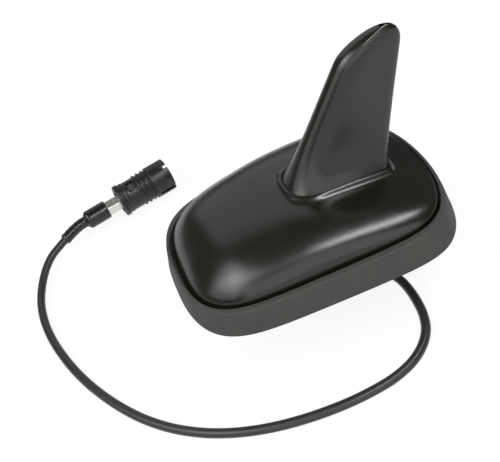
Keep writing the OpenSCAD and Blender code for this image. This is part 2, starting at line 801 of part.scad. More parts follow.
// The lead's route: along the board, down through the stud, out on the surface below and to the plug
route_on_board = [[-34, 14, 0], [-26, 14, 0], [-19, 14, 0], [-13, 13.4, 0], [-8.6, 11.4, 0], [-5.4, 8.4, -0.2], [-3.3, 5.4, -1.2]];
route_down = [
    [-1.6, 2.6, 12.6], [-0.4, 0.7, 8.8], [0, 0, 4.4], [0, 0, -4], [0, 0, -12], [0, 0, -19], [0, 0, -24],
    [0.5, -0.8, -28.8], [1.8, -3.2, -32.8], [3.9, -6.7, -35.5]
];
route_flat = [
    [6.3, -10.9], [9, -16.6], [10.7, -23], [11.2, -30.6], [10.6, -39.6], [9, -48], [5.6, -56.2], [-0.4, -63.2],
    [-8.4, -68.4], [-18.4, -71.6], [-29, -72.8], [-41.6, -72.8], [-55.6, -71.4], [-69.2, -68.8], [-82, -65],
    [-94.6, -59.6], [-107, -52.2], [-119, -42.4], [-130, -30.2], [-139.4, -16.4], [-147.6, -1.4], [-154.4, 14.2],
    [-159.8, 30.4], [-163.8, 47], [-165.8, 63.4]
];
route_rise = [
    [-165.3, 78.6, -36.2], [-162.1, 91.4, -35.1], [-157.4, 100.9, -33.2], [-151.9, 107.2, -31.4], [-145.5, 111.7, -30.3]
];
route = concat(
    [for (p = route_on_board) [p.x, p.y, cable_level + p.z]],
    route_down,
    [for (p = route_flat) [p.x, p.y, surface_level]],
    route_rise,
    [for (i = [0 : len(sleeve_route) - 2]) sleeve_route[i]],
    [plug_axis(jacket_end)]
);
module coax_cable() {
    color([0.2, 0.2, 0.2])
        tube(route, cable_diameter / 2, 10);
}
// Bared end of the cable: insulation and the core bent down to the board
module core_tail() {
    start = route[0];
    color(nylon_white)
        translate([start.x - 3, start.y, start.z])
            rotate([0, 90, 0])
                cylinder(h = 3, r = cable_diameter * 0.32, $fn = 32);
    color(copper) {
        translate([start.x - 6, start.y, start.z])
            rotate([0, 90, 0])
                cylinder(h = 3, r = 0.45, $fn = 24);
        translate([start.x - 6, start.y, board_top])
            cylinder(h = start.z - board_top + 0.45, r = 0.45, $fn = 24);
    }
}

module revolve_x(profile) {
    rotate([0, 90, 0])
        rotate_extrude($fn = 64)
            polygon([for (p = profile) [p[1], p[0]]]);
}
ferrule_corner = ferrule_width / 2 / cos(30);
module heat_shrink_sleeve() {
    sides = 20;
    thin = cable_hole + cable_clearance;
    wide = ferrule_corner + 3 * fit_gap;
    // The route's last open point only sets the direction of the first ring
    points = concat([route_rise[len(route_rise) - 1]], sleeve_route);
    inner_radii = [thin, thin, thin, thin, thin, thin, wide, wide];
    walls = concat([for (i = [0 : 5]) sleeve_tail_wall], [sleeve_wall, sleeve_wall]);
    outer = tube_rings(points, inner_radii + walls, sides);
    inner = tube_rings(points, inner_radii, sides);
    last = len(points) - 1;
    color([0.1, 0.1, 0.1])
        loft(concat([for (i = [1 : last]) outer[i]], [for (i = [last : -1 : 1]) inner[i]]), true);
}
// Hexagonal crimp over the cable's braid
module crimp_ferrule() {
    color(tin_silver)
        at_plug()
            difference() {
                translate([ferrule_start, 0, 0])
                    rotate([0, 90, 0])
                        cylinder(h = ferrule_end - ferrule_start, d = ferrule_width / cos(30), $fn = 6);
                translate([ferrule_start - 1, 0, 0])
                    rotate([0, 90, 0])
                        cylinder(h = ferrule_end - ferrule_start + 2, r = cable_hole, $fn = 48);
                translate([jacket_end, 0, 0])
                    rotate([0, 90, 0])
                        cylinder(h = ferrule_end - jacket_end + 1, r = stub_radius + fit_gap, $fn = 48);
            }
}

// Housing: rear collar, neck with two windows, three grip rings and a slotted barrel open at the mouth
housing_wall = 2;
neck_diameter = 18.4;
ring_diameter = 20;
ring_start = 13.3;
ring_pitch = 3.05;
collar_thickness = 3.4;
step_diameter = 19.4;
step_end = 5.6;
barrel_start = 22.4;
web_start = 12.9;
web_end = 14.9;
stub_radius = 3.3;
body_radius = 4.4;
contact_radius = 4.1;
contact_shoulder = 15.4;
contact_end = 27;
rear_hole = 14;
slot_turn = 24;
slot_length = 6.5;
slot_width = 2.9;
recess_length = 4;
recess_depth = 1.1;
window_size = [5, 7.5];
window_middle = 10.2;
function grip_rings(start) = [
    for (k = [0 : 2])
    let (x = start + ring_pitch * k)
    each [[x, neck_diameter / 2], [x + 0.5, ring_diameter / 2], [x + 1.5, ring_diameter / 2], [x + 2, neck_diameter / 2]]
];
module plug_housing() {
    collar = housing_collar_diameter / 2;
    barrel = barrel_diameter / 2;
    color([0.13, 0.13, 0.13])
        at_plug()
            difference() {
                revolve_x(concat(
                    [
                        [0, rear_hole / 2], [0, collar - 1], [0.3, collar - 0.4], [1, collar],
                        [collar_thickness - 1, collar], [collar_thickness, collar - 0.8], [collar_thickness, step_diameter / 2],
                        [step_end, step_diameter / 2], [step_end + 0.4, neck_diameter / 2]
                    ],
                    grip_rings(ring_start),
                    [
                        [barrel_start, barrel], [housing_length - 0.4, barrel], [housing_length, barrel - 0.4],
                        [housing_length, barrel - housing_wall], [web_end, barrel - housing_wall],
                        [web_end, body_radius + fit_gap], [web_start, body_radius + fit_gap], [web_start, rear_hole / 2]
                    ]
                ));
                for (turn = [0, 90, 180, 270])
                    rotate([turn + slot_turn, 0, 0]) {
                        translate([housing_length - slot_length / 2 + 1, 0, barrel])
                            cube([slot_length + 2, slot_width, 2 * housing_wall + 2], center = true);
                        translate([housing_length - slot_length - recess_length / 2, 0, barrel])
                            cube([recess_length + 0.02, slot_width, 2 * recess_depth], center = true);
                    }
                for (turn = [0, 180])
                    rotate([turn + slot_turn, 0, 0])
                        translate([window_middle, 0, neck_diameter / 2])
                            cube([window_size.x, window_size.y, 6], center = true);
            }
}
// Ring behind the windows, with two tongues that hold the contact body
retainer_start = 6.4;
module plug_retainer() {
    color([0.18, 0.18, 0.18])
        at_plug()
            difference() {
                union() {
                    revolve_x([
                        [retainer_start, body_radius + fit_gap], [retainer_start, rear_hole / 2 - fit_gap],
                        [web_start - fit_gap, rear_hole / 2 - fit_gap], [web_start - fit_gap, body_radius + fit_gap]
                    ]);
                    for (turn = [0, 180])
                        rotate([turn + slot_turn, 0, 0])
                            translate([window_middle - 0.6, 0, rear_hole / 2])
                                cube([window_size.x - 2.4, window_size.y - 3.4, 2.2], center = true);
                }
                rotate([0, 90, 0])
                    cylinder(h = 40, r = body_radius + fit_gap, center = true, $fn = 48);
            }
}
// Turned outer contact: crimp stub inside the ferrule, body, and the tube in the plug's mouth
module plug_contact_tube() {
    color(tin_silver)
        at_plug()
            revolve_x([
                [jacket_end + 0.1, 1.6], [jacket_end + 0.1, stub_radius], [ferrule_end + 0.1, stub_radius],
                [ferrule_end + 0.1, body_radius], [contact_shoulder, body_radius], [contact_shoulder, contact_radius],
                [contact_end - 0.6, contact_radius], [contact_end, contact_radius - 0.4],
                [contact_end, contact_radius - 0.7], [contact_shoulder + 1, contact_radius - 0.7], [contact_shoulder + 1, 1.6]
            ]);
}
insulator_start = contact_shoulder + 1 + fit_gap;
module plug_insulator() {
    color(nylon_white)
        at_plug()
            revolve_x([
                [insulator_start, 0.55], [insulator_start, contact_radius - 0.75],
                [insulator_start + 3, contact_radius - 0.75], [insulator_start + 3, 0.55]
            ]);
}
module plug_pin() {
    color([0.8, 0.65, 0.3])
        at_plug()
            revolve_x([[jacket_end + 0.3, 0], [jacket_end + 0.3, 0.5], [contact_end - 1.6, 0.5], [contact_end - 0.8, 0.2], [contact_end - 0.8, 0]]);
}

dome_cover();
fin_shell();
rubber_skirt();
base_plate();
threaded_stud();
roof_seal();
cable_grommet();
cover_screws();
circuit_board();
board_screws();
shield_can();
board_chips();
coil_former();
antenna_coil();
contact_clip();
cable_clamp();
clamp_screw();
core_tail();
coax_cable();
heat_shrink_sleeve();
crimp_ferrule();
plug_housing();
plug_retainer();
plug_contact_tube();
plug_insulator();
plug_pin();
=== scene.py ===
# %% [markdown]
# Roof aerial with a fin
#
# The object is a car's roof aerial lying ready to fit: a rubber skirt, a moulded cover, a hollow fin,
# a threaded stud below and a coaxial lead that ends in a plug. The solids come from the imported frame.
# This lesson dresses them: it makes the smooth skins, the cord and the plug, and gives all a finish.

# %% Tools and frame
from math import cos, pi, radians, sin, sqrt

import bpy
from mathutils import Matrix, Vector


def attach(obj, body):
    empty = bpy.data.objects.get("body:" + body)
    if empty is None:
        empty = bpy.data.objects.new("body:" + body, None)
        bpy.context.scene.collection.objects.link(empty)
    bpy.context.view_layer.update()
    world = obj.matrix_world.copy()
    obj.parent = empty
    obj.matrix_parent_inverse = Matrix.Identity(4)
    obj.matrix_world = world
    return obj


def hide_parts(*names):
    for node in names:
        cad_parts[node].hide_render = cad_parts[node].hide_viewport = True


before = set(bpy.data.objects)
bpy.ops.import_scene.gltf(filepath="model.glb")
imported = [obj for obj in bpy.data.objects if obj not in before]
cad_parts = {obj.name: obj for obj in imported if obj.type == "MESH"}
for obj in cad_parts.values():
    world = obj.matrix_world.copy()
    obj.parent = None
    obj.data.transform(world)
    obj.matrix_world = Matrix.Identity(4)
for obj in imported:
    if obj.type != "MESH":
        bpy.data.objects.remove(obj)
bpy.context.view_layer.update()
bpy.ops.object.select_all(action="DESELECT")
mm = 0.001
print("nodes in the frame:", len(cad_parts))

# %% [markdown]
# The camera first
#
# The photograph was taken from the front left of the car and from above, with the camera rolled. A long
# lens is a small angle: here the frame is 500 by 462 pixels and the lens is 57 mm on a 36 mm sensor.
# The camera's own axes are worked out from three angles, so that each can be changed by itself.

# %% Camera
def camera_axes(azimuth, elevation, roll):
    back = Vector((sin(azimuth) * cos(elevation), -cos(azimuth) * cos(elevation), sin(elevation)))
    level = Vector((cos(azimuth), sin(azimuth), 0))
    upright = back.cross(level)
    right = level * cos(roll) + upright * sin(roll)
    up = upright * cos(roll) - level * sin(roll)
    return right, up, back


# The camera looks from this far at the middle of the base, slid this far to the left and down
camera_distance, slide_left, slide_down = 379.9, 26.2, 0.1
camera_right, camera_up, camera_back = camera_axes(radians(-6.01), radians(41.18), radians(-21.15))
base_middle = Vector((-23, 0, 0)) * mm
camera_place = base_middle + (
    camera_back * camera_distance - camera_right * slide_left - camera_up * slide_down
) * mm
bpy.ops.object.camera_add(location=camera_place)
camera = bpy.context.object
camera.name = "photo_camera"
camera.matrix_world = Matrix((
    (camera_right.x, camera_up.x, camera_back.x, camera_place.x),
    (camera_right.y, camera_up.y, camera_back.y, camera_place.y),
    (camera_right.z, camera_up.z, camera_back.z, camera_place.z),
    (0, 0, 0, 1),
))
camera.data.sensor_fit = "HORIZONTAL"
camera.data.sensor_width = 36
camera.data.lens = 57.16
camera.data.clip_start = 0.01
bpy.context.scene.camera = camera
print("camera stands at", [round(v, 4) for v in camera_place])

# %% [markdown]
# Sheets wrapped round a form
#
# The cover, the fin, the skirt, the cord and the plug's sleeve are all lofts: one closed outline that
# changes as it travels. By hand one would add a grid, bend it round the form and weld its seam.
# That is done here too. A grid of the right number of squares is added, each of its corners is moved
# to its place on the form, and the seam and any pole are welded by merging doubles.

# %% Wrapping a grid
def wrap_grid(name, rings, loft_closes=False):
    """Rings of points in mm, each as long as the others, become one welded skin."""
    weld_distance, crease_angle = 0.002 * mm, radians(38)
    across = len(rings[0]) + 1
    along = len(rings) + (1 if loft_closes else 0)
    bpy.ops.object.select_all(action="DESELECT")
    bpy.ops.mesh.primitive_grid_add(x_subdivisions=across - 1, y_subdivisions=along - 1, size=1)
    piece = bpy.context.object
    piece.name = name
    piece.data.name = name
    for j in range(along):
        ring = rings[j % len(rings)]
        for i in range(across):
            piece.data.vertices[j * across + i].co = Vector(ring[i % len(ring)]) * mm
    bpy.ops.object.mode_set(mode="EDIT")
    bpy.ops.mesh.select_all(action="SELECT")
    bpy.ops.mesh.remove_doubles(threshold=weld_distance)
    bpy.ops.mesh.normals_make_consistent(inside=False)
    bpy.ops.object.mode_set(mode="OBJECT")
    bpy.ops.object.shade_smooth_by_angle(angle=crease_angle)
    return piece


def mixed(a, b, share):
    return a + (b - a) * share


def clipped(value, low, high):
    return min(high, max(low, value))


# %% [markdown]
# The cord's route
#
# A coaxial lead is stiff for its thickness, so it lies in long even curves. It drops out of the stud,
# turns on to the surface below and runs round the nose to the plug. The points repeat the solid's own
# route, and a smooth curve through them takes out the corners that the solid's straight links have.

# %% Route of the lead
surface_level = -36.5
cable_radius = 2.3
plug_spot = Vector((-103, 125, -28.55))
plug_turn = radians(9.9)
plug_direction = Vector((cos(plug_turn), sin(plug_turn), 0))


def plug_axis(x):
    return tuple(plug_spot + plug_direction * x)


board_level = 16.2
inner_route = [
    (-34, 14, board_level), (-26, 14, board_level), (-19, 14, board_level),
    (-13, 13.4, board_level), (-8.6, 11.4, board_level), (-5.4, 8.4, board_level - 0.2),
    (-3.3, 5.4, board_level - 1.2), (-1.6, 2.6, 12.6), (-0.4, 0.7, 8.8),
    (0, 0, 4.4), (0, 0, -4), (0, 0, -12), (0, 0, -19),
]
drop_route = [(0, 0, -19), (0, 0, -24), (0.5, -0.8, -28.8), (1.8, -3.2, -32.8), (3.9, -6.7, -35.5)]
level_route = [
    (6.3, -10.9), (9, -16.6), (10.7, -23), (11.2, -30.6), (10.6, -39.6), (9, -48), (5.6, -56.2),
    (-0.4, -63.2), (-8.4, -68.4), (-18.4, -71.6), (-29, -72.8), (-41.6, -72.8), (-55.6, -71.4),
    (-69.2, -68.8), (-82, -65), (-94.6, -59.6), (-107, -52.2), (-119, -42.4), (-130, -30.2),
    (-139.4, -16.4), (-147.6, -1.4), (-154.4, 14.2), (-159.8, 30.4), (-163.8, 47), (-165.8, 63.4),
]
rise_route = [
    (-165.3, 78.6, -36.2), (-162.1, 91.4, -35.1), (-157.4, 100.9, -33.2), (-151.9, 107.2, -31.4),
    (-145.5, 111.7, -30.3),
]
sleeve_route = [
    (-141.4, 114.2, -29.7), (-137.2, 116.8, -29.2), (-133.2, 118.9, -28.8),
    plug_axis(-26.5), plug_axis(-23.5), plug_axis(-21.5), plug_axis(-8.5),
]
free_route = drop_route + [(x, y, surface_level) for x, y in level_route] + rise_route
free_route += sleeve_route[:-1] + [plug_axis(-10)]


def smooth_through(points, steps):
    """A smooth curve through the points: steps new ones on each link."""
    spots = [Vector(p) for p in points]
    spots = [spots[0] * 2 - spots[1]] + spots + [spots[-1] * 2 - spots[-2]]
    line = []
    for k in range(1, len(spots) - 2):
        a, b, c, d = spots[k - 1:k + 3]
        for n in range(steps):
            t = n / steps
            line.append(
                b + (c - a) * (0.5 * t) + (a * 2 - b * 5 + c * 4 - d) * (0.5 * t * t)
                + (b * 3 - a - c * 3 + d) * (0.5 * t * t * t)
            )
    line.append(spots[-2])
    return line


def tube_rings(line, radii, sides):
    """Rings square to a line, carried along it without a twist."""
    side = Vector((0.31, 0.9, 0.2))  # any start direction that isn't along the line
    angles = [2 * pi * i / sides for i in range(sides)]
    rings = []
    for k, spot in enumerate(line):
        ahead = (line[min(k + 1, len(line) - 1)] - line[max(k - 1, 0)]).normalized()
        side = (side - ahead * side.dot(ahead)).normalized()
        over = ahead.cross(side)
        rings.append([spot + (side * cos(angle) + over * sin(angle)) * radii[k] for angle in angles])
    return rings


def line_length(line):
    return sum((b - a).length for a, b in zip(line, line[1:]))


# %% [markdown]
# The lead
#
# The free lead and the stretch inside the base are two pieces, because only the free one lies loose.
# Each is a tube of rings. Its jacket follows the piece's own UV map: V runs along the lead and U round
# it, so that the faint draw lines of an extruded jacket can run lengthwise.

# %% Lead
def add_lead(name, points):
    """A closed tube along the points, with a UV map in metres along and round the jacket."""
    steps, sides, radius = 7, 20, cable_radius
    line = smooth_through(points, steps)
    piece = wrap_grid(name, tube_rings(line, [radius] * len(line), sides))
    lengthwise = piece.data.uv_layers.active
    travelled = [0.0]
    for a, b in zip(line, line[1:]):
        travelled.append(travelled[-1] + (b - a).length * mm)
    for loop in lengthwise.data:
        loop.uv.y = travelled[round(loop.uv.y * (len(line) - 1))]
        loop.uv.x = loop.uv.x * 2 * pi * radius * mm
    bpy.ops.object.mode_set(mode="EDIT")
    bpy.ops.mesh.select_all(action="DESELECT")
    bpy.ops.mesh.select_non_manifold()
    bpy.ops.mesh.edge_face_add()
    bpy.ops.object.mode_set(mode="OBJECT")
    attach(piece, "root")
    print(name, "is", round(line_length(line), 1), "mm long")
    return piece, line


free_lead, free_line = add_lead("free_lead", free_route)
inner_lead, inner_line = add_lead("inner_lead", inner_route)
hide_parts("coax_cable")
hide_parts("coax_cable")

# %% [markdown]
# Colours and nodes
#
# A colour picked on a screen is an sRGB value, but a shader works with linear light, so one function
# turns the one into the other. A material is a net of nodes. By hand each is added, set and wired in
# the shader editor. One small function does the same three things here.

# %% Colour and node helpers
def linear(hex_colour):
    """An sRGB hex value as the linear colour that a shader reads."""
    parts = [int(hex_colour[k:k + 2], 16) / 255 for k in (0, 2, 4)]
    return tuple(v / 12.92 if v <= 0.04045 else ((v + 0.055) / 1.055) ** 2.4 for v in parts) + (1.0,)


def add_node(tree, kind, settings=None, inputs=None, links=None):
    """Adds one node: its settings, fixed input values, and links into its inputs."""
    node = tree.nodes.new(kind)
    for key, value in (settings or {}).items():
        setattr(node, key, value)
    for key, value in (inputs or {}).items():
        node.inputs[key].default_value = value
    for key, source in (links or {}).items():
        tree.links.new(source, node.inputs[key])
    return node


# %% [markdown]
# Floor
#
# The photograph has a white ground that takes a faint shadow and shows, upside down, in every side of
# the black plastic. A big plane of matt paper takes the shadow. Part of what the camera sees of it, and
# most of what the plastic mirrors, is plain white, mixed in by what kind of ray arrives.

# %% Floor
floor_level = -38.9  # just under the lead
seen_white, mirrored_white = 0.9, 0.92  # the shares of plain white
bpy.ops.object.select_all(action="DESELECT")
bpy.ops.mesh.primitive_plane_add(size=6, location=(0, 0, floor_level * mm))
floor = bpy.context.object
floor.name = "floor"
floor_paint = bpy.data.materials.new("pale studio paper")
floor_paint.use_nodes = True
tree = floor_paint.node_tree
paper = tree.nodes["Principled BSDF"]
paper.inputs["Base Color"].default_value = linear("f4f4f2")
paper.inputs["Roughness"].default_value = 0.9
white = add_node(tree, "ShaderNodeEmission", inputs={"Color": (1, 1, 1, 1), "Strength": 1.0})
rays = add_node(tree, "ShaderNodeLightPath")
camera_share = add_node(
    tree, "ShaderNodeMath", settings={"operation": "MULTIPLY"},
    inputs={1: seen_white}, links={0: rays.outputs["Is Camera Ray"]},
)
white_share = add_node(
    tree, "ShaderNodeMath", settings={"operation": "MULTIPLY_ADD"}, inputs={1: mirrored_white},
    links={0: rays.outputs["Is Glossy Ray"], 2: camera_share.outputs[0]},
)
both = add_node(
    tree, "ShaderNodeMixShader",
    links={0: white_share.outputs[0], 1: paper.outputs[0], 2: white.outputs[0]},
)
tree.links.new(both.outputs[0], tree.nodes["Material Output"].inputs["Surface"])
floor.data.materials.append(floor_paint)
print("floor at", floor_level, "mm")

# %% [markdown]
# Room and lamps
#
# Black plastic shows its lamps more than its own colour. In the photograph a narrow long lamp draws the
# bright line along the cover's shoulder, a big one with soft edges lies on the nose, and the rest of the
# room is dim. Each lamp stands where the surface mirrors the direction of its highlight. The camera sees
# a white backdrop, and the surfaces mirror the dim room.

# %% Room and lamps
scene = bpy.context.scene
scene.view_settings.view_transform = "Standard"
world = bpy.data.worlds.new("soft white room")
world.use_nodes = True
scene.world = world
tree = world.node_tree
rays = add_node(tree, "ShaderNodeLightPath")
seen = add_node(
    tree, "ShaderNodeMath", settings={"operation": "MAXIMUM"},
    links={0: rays.outputs["Is Camera Ray"], 1: rays.outputs["Is Transmission Ray"]},
)
room = add_node(tree, "ShaderNodeBackground", inputs={"Color": (1, 1, 1, 1), "Strength": 0.12})
backdrop = add_node(tree, "ShaderNodeBackground", inputs={"Color": (1, 1, 1, 1), "Strength": 1.0})
sky = add_node(tree, "ShaderNodeMixShader", links={0: seen.outputs[0], 1: room.outputs[0], 2: backdrop.outputs[0]})
tree.links.new(sky.outputs[0], tree.nodes["World Output"].inputs["Surface"])


def add_soft_lamp(name, place, aim, width, height, watts):
    """A rectangular soft lamp at a place in metres, facing its aim."""
    bpy.ops.object.light_add(type="AREA", location=place)
    lamp = bpy.context.object
    lamp.name = name
    lamp.data.shape = "RECTANGLE"
    lamp.data.size = width
    lamp.data.size_y = height
    lamp.data.energy = watts
    lamp.rotation_euler = (Vector(aim) - Vector(place)).to_track_quat("-Z", "Y").to_euler()
    return lamp


add_soft_lamp("strip_lamp", (0.33, -0.22, 0.76), (0.035, 0.05, 0.03), 0.96, 0.085, 5.2)
# The nose mirrors one big lamp with soft edges, so three sizes of it stand one behind another
for name, place, width, height, watts in (
    ("nose_core", (-0.58, -0.14, 0.79), 0.36, 0.26, 0.75),
    ("nose_lamp", (-0.65, -0.18, 0.78), 0.8, 0.62, 3.2),
    ("nose_wide", (-0.76, -0.24, 0.74), 1.35, 1.1, 6.4),
):
    add_soft_lamp(name, place, (-0.02, -0.02, 0.03), width, height, watts)
add_soft_lamp("far_lamp", (0, 1.1, 0.75), (-0.02, 0, 0.03), 1.2, 0.9, 2.3)
# A pale card on the camera's side lights the cover's near wall
add_soft_lamp("near_card", (0.09, -1.2, 0.52), (0, 0, 0.03), 2.0, 1.0, 9)

# %% [markdown]
# The base's outline and the cover's dome
#
# Seen from above the base is a blunt rounded form, a little wider at the tail. Seen from the side the
# cover rises fast behind the nose, has its crest at the foot of the fin and falls slowly to the tail.
# Formulas of the same kind made the solid. Here they are sampled three times finer, so that the long
# soft reflections run without a kink. The section has a flatter top and a fuller shoulder than the
# solid's, by a millimetre at most, because the narrow highlight on the shoulder needs it.

# %% Outline and dome
base_length, base_width, stud_setback = 134, 102, 23
cover_inset_end, cover_inset_side = 5, 7.2
cover_edge_nose, cover_edge_tail, cover_rise = 9.6, 14, 17.6
cover_wall, cover_foot = 2.4, 3.6
crest_x = -10


def half_width(u, b):
    """Half the base's width at a place from -1 at the nose to 1 at the tail."""
    corner = 2.65 if u < 0 else 1.95
    widening = 1 + 0.09 * u - 0.035 * u * u
    return b * max(0, 1 - abs(u) ** 6) ** (1 / corner) * widening


def plan(turn, inset_end, inset_side):
    """A point of the outline, turned in degrees from the tail."""
    u = sin(radians(90 * (1 - turn / 90 if turn <= 180 else turn / 90 - 3)))
    y = half_width(u, base_width / 2 - inset_side)
    return (base_length / 2 - inset_end) * u, y if turn <= 180 else -y


def cover_z(x, y, wall):
    """The cover's height, outside with no wall and inside with one."""
    a = base_length / 2 - cover_inset_end - wall
    b = base_width / 2 - cover_inset_side - wall
    u = clipped(x / a, -1, 1)
    v = min(1, abs(y) / max(0.01, half_width(u, b)))
    if u * a < crest_x:
        fall = max(0, 1 - ((crest_x - u * a) / (crest_x + a)) ** 4.1) ** 0.93
    else:
        fall = 1 - ((u * a - crest_x) / (a - crest_x)) ** 1.5
    # The shoulder grows tighter from the nose to the tail
    shoulder = mixed(2.5, 7.2, ((u + 1) / 2) ** 1.5)
    edge = mixed(cover_edge_nose, cover_edge_tail, (u + 1) / 2)
    return edge + (cover_rise - wall) * fall * sqrt(max(0, 1 - v ** shoulder))


# %% [markdown]
# The fin's form
#
# The fin is drawn as its side outline first: a straight leaning front and a steeper rear, which both
# roll over and meet at the tip. Its thickness flares at the foot and tapers to the rear. The edge all
# round is rounded by the distance in from the side outline, so front, top and rear share one soft roll.

# %% Fin formulas
fin_height, fin_foot_length, fin_foot_thickness, fin_tip_thickness = 86.8, 49.8, 20, 13
fin_front_x, foot_level, front_lean, rear_lean = 1.3, 35, 0.75, 0.31
front_round, rear_round, top_round, round_power = 12.4, 4.9, 8.6, 2.65
taper_start, taper_loss, taper_ease = 0.2, 0.62, 0.01
flare_power = 6.7
roll_height, rear_roll, roll_power = 8.5, 9.8, 1.87
roll_reach = fin_foot_length + (rear_lean - front_lean) * (fin_height - foot_level) - rear_roll


def risen(z, height):
    return clipped((z - fin_height + height) / height, 0, 0.9999)


def rolled(h):
    return 1 - (1 - h ** roll_power) ** (1 / roll_power)


def roll_slope(h):
    return h ** (roll_power - 1) * (1 - h ** roll_power) ** (1 / roll_power - 1)


def front_x(z):
    return fin_front_x + front_lean * (z - foot_level) + roll_reach * rolled(risen(z, roll_height))


def rear_x(z):
    return fin_front_x + fin_foot_length + rear_lean * (z - foot_level) - rear_roll * rolled(risen(z, rear_roll))


def fin_y(x, z):
    """Half the fin's thickness at a place along it and a height."""
    front, rear = front_x(z), rear_x(z)
    front_slope = front_lean + roll_reach / roll_height * roll_slope(risen(z, roll_height))
    rear_slope = rear_lean - roll_slope(risen(z, rear_roll))
    in_front = max(0.001, (x - front) / sqrt(1 + front_slope ** 2) / front_round)
    in_rear = max(0.001, (rear - x) / sqrt(1 + rear_slope ** 2) / rear_round)
    in_top = max(0.001, (fin_height - z) / top_round)
    inward = min(1, (in_front ** -3 + in_rear ** -3 + in_top ** -3) ** (-1 / 3))
    q = (x - front) / (rear - front) - taper_start
    taper = 1 - taper_loss * (q + sqrt(q * q + taper_ease)) / 2 / 0.7
    flare = clipped((fin_height - z) / (fin_height - foot_level), 0, 2) ** flare_power
    half = mixed(fin_tip_thickness, fin_foot_thickness, flare) / 2
    return half * taper * (1 - (1 - inward) ** round_power) ** (1 / round_power)


def fin_point(turn, z, out):
    """A point of the fin's level section, turned in degrees from the rear and moved out or in."""
    s = (1 + cos(radians(turn))) / 2
    front, rear = front_x(z), rear_x(z)
    x = mixed(front - out, rear + out * (2.4 if out < 0 else 1), s)
    ends = min(1, 2.5 * abs(sin(radians(turn))))
    y = max(0.3, fin_y(x, z) + out) * ends if out < 0 else fin_y(mixed(front, rear, s), z) + out * ends
    return x, y if turn <= 180 else -y


def fin_on_cover(turn, out, lift, wall):
    """The same where the section meets the cover, found by going to and fro between the two."""
    z = 30
    for _ in range(7):
        x, y = fin_point(turn, z, out)
        z = cover_z(x, y, wall) + lift
    return x, y, z


# %% [markdown]
# The cover
#
# On the real aerial this is one moulding in black ABS with a fine spark-eroded grain. A raised collar
# runs round the foot of the fin and catches a bright line of light. The skin is wrapped from the foot,
# over the dome, up the collar, down the slot and back along the inside, so it is a true closed wall.
# The screw bosses and ribs on its inside can't be seen, and only the solid has them.

# %% Cover skin
flange_width, fin_slot = 3, 0.2


def on_base(ring):
    """From the middle of the base to the frame, whose origin is on the stud."""
    return [(x - stud_setback, y, z) for x, y, z in ring]


def dome_ring(rim, foot, share, wall):
    """A ring on the dome between the fin's foot and the rim."""
    ring = []
    for e, f in zip(rim, foot):
        x, y = mixed(f[0], e[0], share), mixed(f[1], e[1], share)
        ring.append((x, y, cover_z(x, y, wall)))
    return ring


def cover_rings(turns):
    outside_steps, inside_steps = 34, 8
    collar_width, collar_height = 3.2, 1.7
    rim = [plan(t, cover_inset_end, cover_inset_side) for t in turns]
    foot = [fin_on_cover(t, collar_width, 0, 0) for t in turns]
    rings = [[(x, y, level) for x, y in rim] for level in (cover_foot, 6)]
    for k in range(outside_steps, -1, -1):
        rings.append(dome_ring(rim, foot, sin(pi / 2 * k / outside_steps), 0))
    # The collar: a hollow fillet, a rounded crown and a small lip down into the slot
    profile = [
        (0.9, 0.03), (0.8, 0.1), (0.7, 0.22), (0.62, 0.36), (0.55, 0.52), (0.49, 0.68),
        (0.43, 0.82), (0.36, 0.92), (0.28, 0.98), (0.2, 1.0), (0.13, 0.985),
    ]
    for share, lift in profile:
        rings.append([fin_on_cover(t, share * collar_width, lift * collar_height, 0) for t in turns])
    for out, lift in ((fin_slot + 0.07, collar_height * 0.93), (fin_slot, collar_height * 0.8), (fin_slot, 0.2)):
        rings.append([fin_on_cover(t, out, lift, 0) for t in turns])
    # Down the slot, and back along the inside from the edge of the fin's flange
    inner_rim = [plan(t, cover_inset_end + cover_wall, cover_inset_side + cover_wall) for t in turns]
    rings.append([fin_on_cover(t, fin_slot, 0, cover_wall) for t in turns])
    inner_foot = [fin_on_cover(t, flange_width + fin_slot, 0, cover_wall) for t in turns]
    for k in range(inside_steps + 1):
        rings.append(dome_ring(inner_rim, inner_foot, sin(pi / 2 * k / inside_steps), cover_wall))
    rings.append([(x, y, cover_foot) for x, y in inner_rim])
    return rings


cover_turns = [360 * k / 224 for k in range(224)]
cover_skin = wrap_grid("cover_skin", [on_base(r) for r in cover_rings(cover_turns)], loft_closes=True)
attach(cover_skin, "root")
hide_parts("dome_cover")
print("cover skin has", len(cover_skin.data.polygons), "faces")

# %% [markdown]
# The fin
#
# The fin is a second moulding that stands in the collar. It is thick and round in front, thin behind,
# and its top rolls over. One skin is wrapped down its hollow, round the flange that bears on the
# cover's inside, and up the outside to the tip, where the last ring is next to nothing.

# %% Fin skin
def fin_rings(turns):
    steps, hollow_steps, tip_gap = 96, 10, 0.998
    seat, flange_thickness, wall, tip_solid = -0.2, 1.8, 2.2, 10
    rings = []
    hollow_low = [fin_on_cover(t, -wall, seat - flange_thickness, cover_wall) for t in turns]
    for k in range(hollow_steps, -1, -1):
        ring = []
        for t, low in zip(turns, hollow_low):
            z = mixed(low[2], fin_height - tip_solid, k / hollow_steps)
            ring.append(fin_point(t, z, -wall) + (z,))
        rings.append(ring)
    rings.insert(0, [(x, 0, z) for x, y, z in rings[0]])
    rings.append([fin_on_cover(t, flange_width, seat - flange_thickness, cover_wall) for t in turns])
    rings.append([fin_on_cover(t, flange_width, seat, cover_wall) for t in turns])
    foot = [fin_on_cover(t, 0, seat, cover_wall) for t in turns]
    for k in range(steps + 1):
        ring = []
        for t, low in zip(turns, foot):
            z = mixed(low[2], fin_height, sin(pi / 2 * k / steps * tip_gap))
            ring.append(fin_point(t, z, 0) + (z,))
        rings.append(ring)
    return rings


fin_turns = [360 * k / 216 for k in range(216)]
fin_skin = wrap_grid("fin_skin", [on_base(r) for r in fin_rings(fin_turns)])
